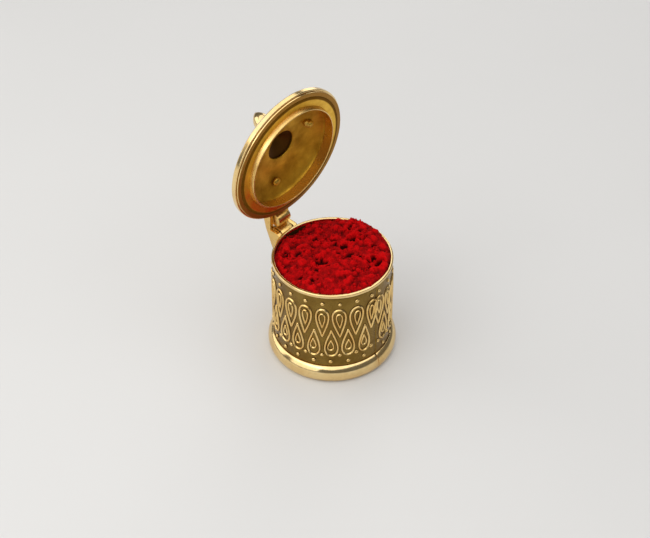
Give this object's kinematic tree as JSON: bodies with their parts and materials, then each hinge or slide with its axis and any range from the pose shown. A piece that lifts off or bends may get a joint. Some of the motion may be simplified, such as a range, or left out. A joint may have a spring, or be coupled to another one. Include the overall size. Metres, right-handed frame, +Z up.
{
  "type": "kumkum box",
  "caption": "Small round gilt brass box for kumkum powder, on a half-round foot bead, with a knobbed lid standing open on a rear hinge.",
  "frame": {"origin": "centre of the base, on the surface that the box stands on", "axes": "+Z up along the axis of the round box, +Y from the axis towards the hinge, +X along the hinge pin"},
  "size_m": [0.036, 0.0451, 0.0692],
  "materials": {
    "gilt_brass": "polished gilt",
    "kumkum": "matte loose powder"
  },
  "bodies": {
    "box": {"body_wall": "gilt_brass", "rim_ring": "gilt_brass", "base_bead": "gilt_brass", "base_plate": "gilt_brass", "hinge_bracket": "gilt_brass", "hinge_pin": "gilt_brass", "kumkum_powder": "kumkum"},
    "lid": {"lid_plug_ring": "gilt_brass", "lid_seat_ring": "gilt_brass", "lid_edge_ring": "gilt_brass", "lid_dome": "gilt_brass", "knob": "gilt_brass", "solder_tacks": "gilt_brass", "lid_hinge_lug": "gilt_brass"}
  },
  "joints": [
    {"name": "lid_hinge", "type": "hinge", "parent": "box", "child": "lid", "pos_m": [0, 0.0196, 0.03195], "axis": [-1, 0, 0], "range_deg": [-84.5, 11]}
  ]
}
